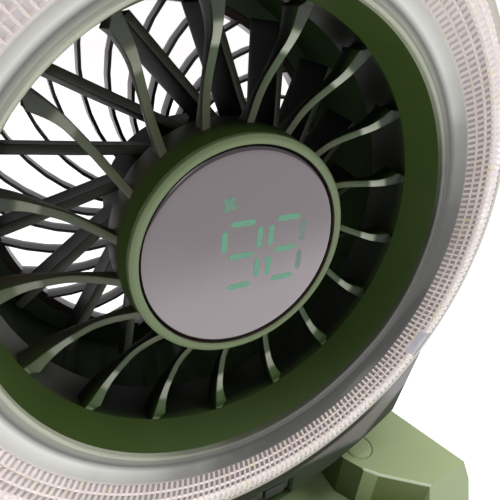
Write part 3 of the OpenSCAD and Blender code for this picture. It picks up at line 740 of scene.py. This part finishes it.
def vane_edge_painted_light():
    """Front edges of the vanes, lighter than the guard as painted light: a pale painted reflection
    near the hub, a painted highlight on a facet, a dark end and a painted glint at the foot.
    """
    finish = Finish("vane_edge_painted_light")
    radius, angle, _ = finish.head_place()
    mottle = finish.noise(120, 3)
    share = radius * (1 / (LIP * MM)) + (mottle - 0.5) * 0.03
    tint = finish.ramp(share, *VANE_EDGE_PAINTED_LIGHT)
    # Painted brown light on the edges on the guard's brown side
    brown = finish.span(finish.towards(angle, BROWN_SIDE), 0.3, 0.9)
    tint = finish.mix(brown * 0.6, tint, (0.060, 0.062, 0.026))
    # Painted shade on the vanes' outer ends on the upper and right side
    shaded = finish.span(share, 0.865, 0.90) * (1.0 - finish.span(angle, 0.5, 1.2))
    tint = finish.mix(shaded * 0.85, tint, (0.004, 0.006, 0.003))
    return finish.surface(Base_Color=tint, Roughness=0.36 + (finish.noise(420, 2) - 0.5) * 0.1,
                          Normal=finish.bump(finish.noise(2400, 2), 0.2, 0.00003))


class CAMPFAN_OT_front_guard(bpy.types.Operator):
    """Model the funnel, the curved vanes and the hub cup"""

    bl_idname = "campfan.front_guard"
    bl_label = "Front guard"

    def execute(self, context):
        guard = context.scene.campfan_guard
        colours = context.scene.campfan_colours
        bm = lathe([(LIP + r, z) for r, z in FUNNEL_PROFILE], steps=192, closed=True)
        join_into(bm, lathe(HUB_PROFILE, steps=128))
        vane = curved_vane(guard.vane_width / MM)
        flare_foot(vane, guard.vane_foot / MM)
        soften(vane, 0.3, angle=50)
        # The vanes' front faces take the painted light of the front edges
        mark_front(vane)
        copies_around(vane, guard.vanes, VANE_PHASE)
        join_into(bm, vane)
        add_piece(bm, "guard_moulding", "head",
                  [guard_plastic(colours), vane_edge_painted_light()],
                  replaces=["guard_funnel", "front_guard"], sharp=40)
        return {"FINISHED"}


# ---- Hub and display ----

RIM_PROFILE = [(30.5, 11.2), (30.5, 9.2), (30.7, 8.65), (31.2, 8.3), (31.9, 8.2), (32.6, 8.3),
               (33.15, 8.65), (33.4, 9.3), (33.3, 10.4), (32.9, 11.2)]
# Smoked lens with a rounded edge, from its axis outwards
LENS_PROFILE = [(0, 8.84), (27, 8.84), (29.0, 8.84), (29.5, 8.92), (30.0, 9.15), (30.35, 9.55),
                (30.45, 10.1), (30.45, 10.4), (0, 10.4)]
# Radius inside which the rim's faces are its inner wall, painted dark as shade
RIM_WALL = 30.75
# Where the second digit's right bars start, the foot of the fan sign, and the unlit lens
FADED_BARS = 0.0172
SIGN_LOW = AXIS_HEIGHT + 0.0115
DIM_LENS = (0.14, 0.20, 0.165)


def lens_finish(settings):
    """Smoked mirror lens with faint smears, with painted light that makes it paler towards its
    foot.
    """
    finish = Finish("smoked_lens")
    smear = finish.noise(30, 4)
    _, _, height = finish.split(finish.place())
    # Painted light: the lens grows paler towards its foot
    fall = finish.span(height + (smear - 0.5) * 0.02, AXIS_HEIGHT - 0.018, AXIS_HEIGHT + 0.012)
    base = finish.mix(fall, scaled(settings.lens, 1.45), scaled(settings.lens, 0.96))
    return finish.surface(Base_Color=base, Roughness=0.12 + (smear - 0.5) * 0.05, Metallic=1.0)


def digit_finish(settings):
    """Lit bars; the second digit's right bars and the fan sign are fainter."""
    finish = Finish("digit_light")
    x, _, height = finish.split(finish.place())
    fade = finish.span(x, FADED_BARS, FADED_BARS + 0.0008)
    fade = fade * 0.8 + finish.span(height, SIGN_LOW, SIGN_LOW + 0.001) * 0.5
    shine = finish.noise(260, 2)
    lit = finish.mix(shine, (0.085, 0.250, 0.155), (0.120, 0.320, 0.205))
    tint = finish.mix(fade, lit, DIM_LENS)
    glow = finish.mix(fade, scaled(settings.digits, 0.16), (0.0, 0.0, 0.0))
    return finish.surface(Base_Color=tint, Roughness=0.35, Emission_Color=glow,
                          Emission_Strength=0.5)


class CAMPFAN_OT_hub(bpy.types.Operator):
    """Model the hub rim and finish the display"""

    bl_idname = "campfan.hub"
    bl_label = "Hub and display"

    def execute(self, context):
        colours = context.scene.campfan_colours
        rim = lathe(RIM_PROFILE, steps=160, closed=True)
        # The rim's inner wall gets painted shade
        for face in rim.faces:
            if face.calc_center_median().xy.length < RIM_WALL:
                face.material_index = 1
        add_piece(rim, "hub_rim_ring", "head",
                  [moulded("rim_green", tuple(colours.rim), roughness=0.4),
                   moulded("rim_wall_painted_shade", (0.022, 0.010, 0.008), roughness=0.5)],
                  replaces=["hub_rim"])
        add_piece(lathe(LENS_PROFILE, steps=160), "display_lens_glass", "head",
                  lens_finish(colours), replaces=["display_lens"], sharp=50)
        paint("display_windows", digit_finish(colours))
        return {"FINISHED"}


# ---- Impeller and rear guard ----

IMPELLER_HUB = [(0, 33), (26.5, 33), (28.6, 33.6), (29.7, 34.8), (30, 36.5), (30, 54), (27.6, 54),
                (27.6, 36), (0, 36)]
BLADE_PHASE = 204.2
BLADE_OFFSET = 24
BLADE_LEAN = 9
BLADE_DEPTH = (34, 48)
BLADE_ROOT = 29.2
BLADE_TIP = LIP - 3.5
BLADE_SWELL = 0.5
BLADE_STATIONS = 14
BLADE_ROWS = 8


def leaning_blade(thickness):
    """A straight blade beside the axis, leaning along its length and a little swollen."""
    bm = bmesh.new()
    front, rear = BLADE_DEPTH
    tilt = math.tan(math.radians(BLADE_LEAN))
    rows = []
    for step in range(BLADE_ROWS + 1):
        z = front + 0.1 + (rear - front - 0.2) * step / BLADE_ROWS
        y = BLADE_OFFSET - (z - front) * tilt
        inner = math.sqrt(BLADE_ROOT**2 - y * y)
        outer = math.sqrt((BLADE_TIP - 0.05)**2 - y * y)
        swell = BLADE_SWELL * math.sin(math.pi * step / BLADE_ROWS) ** 0.5
        rows.append([bm.verts.new((inner + (outer - inner) * k / BLADE_STATIONS,
                                   y - swell * math.sin(math.pi * k / BLADE_STATIONS), z))
                     for k in range(BLADE_STATIONS + 1)])
    for low, high in zip(rows, rows[1:]):
        for k in range(BLADE_STATIONS):
            bm.faces.new((low[k], low[k + 1], high[k + 1], high[k]))
    bmesh.ops.recalc_face_normals(bm, faces=bm.faces)
    bmesh.ops.solidify(bm, geom=bm.faces, thickness=thickness)
    return bm


class CAMPFAN_OT_impeller(bpy.types.Operator):
    """Model the impeller's hub and blades"""

    bl_idname = "campfan.impeller"
    bl_label = "Impeller"

    def execute(self, context):
        guard = context.scene.campfan_guard
        bm = lathe(IMPELLER_HUB, steps=96)
        blade = leaning_blade(guard.blade_width / MM)
        soften(blade, 0.3, angle=50)
        # Painted light: the blades' front faces get a lighter olive finish
        mark_front(blade)
        copies_around(blade, guard.blades, BLADE_PHASE)
        join_into(bm, blade)
        add_piece(bm, "impeller_moulding", "impeller",
                  [moulded("impeller_black", (0.007, 0.008, 0.006), roughness=0.55, shine=0.15),
                   moulded("blade_edge_painted_light", (0.040, 0.045, 0.028), roughness=0.4)],
                  replaces=["impeller"], sharp=40)
        return {"FINISHED"}


class CAMPFAN_OT_rear_guard(bpy.types.Operator):
    """Round the ribs of the rear guard, with painted shade darkening their fronts and painted
    light on their sides
    """

    bl_idname = "campfan.rear_guard"
    bl_label = "Rear guard"

    def execute(self, context):
        ribs = dressed_copy("rear_guard", 0.00025, 50, 1)
        # Painted light and shade: dark brown fronts, pale grey sides
        mark_front(ribs, CAD_FRONT)
        add_piece(ribs, "rear_guard_ribs", "head",
                  [moulded("rib_side_painted_light", (0.34, 0.32, 0.32), roughness=0.4),
                   moulded("rib_front", (0.055, 0.033, 0.026), roughness=0.4)],
                  replaces=["rear_guard"], place=AT_REST)
        return {"FINISHED"}


# ---- Shells ----

# The painted reflection on the chin's polished front ends in painted shade at its slanting
# corners, its foot, a groove round the ring and a line below the axis. Each is a start and an end
# of a fade, in metres.
CHIN_CORNER = (0.0915, 0.0945)
CHIN_FOOT = (0.084, 0.088)
CHIN_TOP = (0.015, 0.030)
GROOVE_EDGE = (RING_OUTER * MM + 0.0024, RING_OUTER * MM + 0.0036)
GROOVE_START = (math.radians(46), math.radians(58))
# Faces of the frame and of the base casing larger than these, in square metres, stay flat
FRAME_FLAT = 1.5e-4
CASING_FLAT = 1.0e-4
# Height above which the base's blocks get painted shade on their sides, the reach of their inner
# sides, and the height above which their upper edges are rounded
BLOCK_FOOT = 0.036
BLOCK_INSIDE = 0.070
RIDGE_FOOT = 0.040
RIDGE_LEAST = 0.003
RIDGE_WIDTH = 0.0008
BAY_CORNER = 0.0030


def chin_gloss_and_painted_light(settings):
    """Polished front of the chin: a mauve grey painted reflection, with painted shade in dark
    green at its foot and corners and near black beside the ring.
    """
    finish = Finish("chin_gloss_and_painted_light")
    radius, angle, _ = finish.head_place()
    x, _, height = finish.split(finish.place())
    below = AXIS_HEIGHT - height
    corner = finish.span(abs(x) * 0.8 + below * 0.6, *CHIN_CORNER)
    foot = finish.span(below, *CHIN_FOOT)
    groove = (1.0 - finish.span(radius, *GROOVE_EDGE)) * finish.span(angle, *GROOVE_START)
    # Painted reflection where bright, painted dark green shade elsewhere
    bright = (1.0 - corner) * (1.0 - foot) * (1.0 - groove) * finish.span(below, *CHIN_TOP)
    smear = finish.noise(40, 4)
    grey = finish.mix(smear, (0.160, 0.142, 0.138), (0.225, 0.203, 0.200))
    tint = finish.mix(bright, scaled(settings.shell, 0.45), grey)
    # Painted near-black shade in the groove beside the ring
    tint = finish.mix(groove, tint, (0.010, 0.006, 0.005))
    return finish.surface(Base_Color=tint, Roughness=0.55 - bright * 0.3 + (smear - 0.5) * 0.1,
                          Specular_IOR_Level=0.35)


def looks_under(face):
    """Whether a face looks both downwards and to the front."""
    return face.normal.z < -0.25 and face.normal.y < -0.3


class CAMPFAN_OT_head_shells(bpy.types.Operator):
    """Round the front frame and the rear shell, and finish the chin"""

    bl_idname = "campfan.head_shells"
    bl_label = "Head shells"

    def execute(self, context):
        colours = context.scene.campfan_colours
        shell = moulded("shell_green", tuple(colours.shell), roughness=0.42, shine=0.25)
        front = dressed_copy("front_frame", 0.0006)
        # The frame's front faces take the chin's painted reflection and shade
        mark_front(front, CAD_FRONT, 0.97)
        # Painted shade: faces that look down and to the front get a darker copy of the shell
        for face in front.faces:
            if looks_under(face):
                face.material_index = 2
        add_piece(front, "front_frame_shell", "head",
                  [shell, chin_gloss_and_painted_light(colours),
                   moulded("shell_underside_painted_shade", scaled(colours.shell, 0.45), roughness=0.6,
                           shine=0.1)],
                  replaces=["front_frame"], place=AT_REST, flat=FRAME_FLAT)
        dress("rear_shell", "rear_drum_shell", "head", shell, 0.0006)
        return {"FINISHED"}


class CAMPFAN_OT_keys(bpy.types.Operator):
    """Finish the key panel and its keys"""

    bl_idname = "campfan.keys"
    bl_label = "Keys"

    def execute(self, context):
        gloss = moulded("panel_black", (0.008, 0.008, 0.010), roughness=0.18, coat=0.4)
        soft = moulded("key_black", (0.016, 0.016, 0.017), roughness=0.42)
        dress("key_panel", "key_panel_plate", "head", gloss, 0.00025)
        for node in ("key_power", "key_speed", "key_light"):
            dress(node, node + "_cap", node, soft, 0.0003)
        return {"FINISHED"}


def mark_block_sides(casing):
    """Gives the blocks' sides that look into the bay a painted shadow and those that look to its
    mouth a darker painted shade.
    """
    for face in casing.faces:
        centre = face.calc_center_median()
        inward = -face.normal.x * math.copysign(1, centre.x)
        inside = centre.z > BLOCK_FOOT and abs(centre.x) < BLOCK_INSIDE
        if inside and abs(face.normal.z) < 0.1:
            if inward > 0.85:
                face.material_index = 3
            elif inward > 0.35 and face.normal.y < -0.42:
                face.material_index = 1


def is_ridge(edge):
    """Whether an edge runs along the front of a block's top."""
    return (edge.is_manifold and edge.calc_length() > RIDGE_LEAST
            and edge.calc_face_angle(0) > 0.35 and min(v.co.z for v in edge.verts) > RIDGE_FOOT
            and any(f.normal.z > 0.9 for f in edge.link_faces)
            and any(f.material_index == 1 or -0.78 < f.normal.y < -0.5
                    for f in edge.link_faces))


class CAMPFAN_OT_base(bpy.types.Operator):
    """Model the base shell, its plate and its button, and finish its feet"""

    bl_idname = "campfan.base"
    bl_label = "Base"

    def execute(self, context):
        colours = context.scene.campfan_colours
        sage = moulded("base_sage", tuple(colours.base), roughness=0.45, variation=0.06)
        # Painted shade on the blocks' facets towards the bay's mouth
        shade = moulded("base_front_painted_shade", (0.120, 0.158, 0.042), roughness=0.5, variation=0.06)
        # Painted highlight on the rounded front edges of the blocks' tops
        edge = moulded("base_edge_painted_highlight", (0.52, 0.58, 0.40), roughness=0.25, variation=0.06)
        # Painted shadow of the head on the blocks' inner sides
        bay = moulded("base_bay_painted_shadow", (0.045, 0.066, 0.016), roughness=0.5, variation=0.06)
        casing = merged_copy("base_shell")
        mark_block_sides(casing)
        corners = [e for e in casing.edges if e.is_manifold
                   and {f.material_index for f in e.link_faces} == {1, 3}]
        soften(casing, BAY_CORNER, segments=1, edges=corners, material=0)
        soften(casing, RIDGE_WIDTH, segments=3, edges=[e for e in casing.edges if is_ridge(e)],
               material=2)
        add_piece(casing, "base_casing", "base", [sage, shade, edge, bay],
                  replaces=["base_shell"], place=AT_REST, flat=CASING_FLAT)
        dress("power_button", "power_button_cap", "power_button", sage, 0.0003)
        dress("base_plate", "base_plate_cover", "base",
              moulded("plate_black", (0.02, 0.021, 0.018), roughness=0.5), 0.0005)
        paint("rubber_feet", moulded("foot_rubber", (0.015, 0.015, 0.015), roughness=0.8))
        return {"FINISHED"}


class CAMPFAN_OT_inner_parts(bpy.types.Operator):
    """Finish the pieces inside the head and the base"""

    bl_idname = "campfan.inner_parts"
    bl_label = "Inner parts"

    def execute(self, context):
        steel = metal("bright_steel", (0.62, 0.62, 0.63))
        finishes = {
            "board_white": moulded("white_board", (0.75, 0.75, 0.72), roughness=0.4),
            "board_green": moulded("green_board", (0.02, 0.13, 0.05), roughness=0.35),
            "led": moulded("led_yellow", (0.8, 0.66, 0.25), roughness=0.3),
            "black": moulded("inner_black", (0.02, 0.02, 0.02), roughness=0.45),
            "bronze": metal("bearing_bronze", (0.45, 0.30, 0.12)),
            "core": metal("core_steel", (0.32, 0.33, 0.35), roughness=0.4),
            "copper": metal("coil_copper", (0.62, 0.27, 0.11), roughness=0.35),
            "magnet": moulded("magnet_grey", (0.03, 0.03, 0.032), roughness=0.6),
            "cell": moulded("cell_wrap", (0.02, 0.09, 0.30), roughness=0.3),
        }
        nodes = {
            "led_board": "board_white", "led_chips": "led", "display_module": "black",
            "display_board": "board_green", "motor_mount": "black", "front_bearing": "bronze",
            "rear_bearing": "bronze", "stator_core": "core", "stator_coils": "copper",
            "rotor_magnet": "magnet", "key_board": "board_green", "battery_cells": "cell",
            "battery_tray": "black", "main_board": "board_green", "port_board": "board_green",
            "power_switch": "black", "hinge_washers": "black",
        }
        for node, key in nodes.items():
            paint(node, finishes[key])
        for node in ("guard_screws", "shell_screws", "motor_shaft", "rotor_cup", "shaft_clip",
                     "hinge_pins", "cell_strips", "charge_port", "base_screws"):
            paint(node, steel)
        return {"FINISHED"}


# ---- Add-on ----

OPERATORS = (CAMPFAN_OT_stage, CAMPFAN_OT_light_ring, CAMPFAN_OT_front_guard, CAMPFAN_OT_hub,
             CAMPFAN_OT_impeller, CAMPFAN_OT_rear_guard, CAMPFAN_OT_head_shells, CAMPFAN_OT_keys,
             CAMPFAN_OT_base, CAMPFAN_OT_inner_parts)


class CAMPFAN_PT_sidebar(bpy.types.Panel):
    """Sidebar panel with the fan's settings and steps"""

    bl_idname = "CAMPFAN_PT_sidebar"
    bl_label = "Camping fan"
    bl_space_type = "VIEW_3D"
    bl_region_type = "UI"
    bl_category = "Camping fan"

    def draw(self, context):
        scene = context.scene
        for settings in (scene.campfan_ring, scene.campfan_guard, scene.campfan_colours):
            for key in settings.__annotations__:
                self.layout.prop(settings, key)
        for operator in OPERATORS:
            self.layout.operator(operator.bl_idname)


SETTINGS = {"campfan_ring": RingSettings, "campfan_guard": GuardSettings,
            "campfan_colours": ColourSettings}
CLASSES = (*SETTINGS.values(), *OPERATORS, CAMPFAN_PT_sidebar)


def register():
    for cls in CLASSES:
        bpy.utils.register_class(cls)
    for name, cls in SETTINGS.items():
        setattr(bpy.types.Scene, name, PointerProperty(type=cls))


def unregister():
    for name in SETTINGS:
        delattr(bpy.types.Scene, name)
    for cls in reversed(CLASSES):
        bpy.utils.unregister_class(cls)


def main():
    register()
    for operator in OPERATORS:
        group, name = operator.bl_idname.split(".")
        getattr(getattr(bpy.ops, group), name)()


if __name__ == "__main__":
    main()
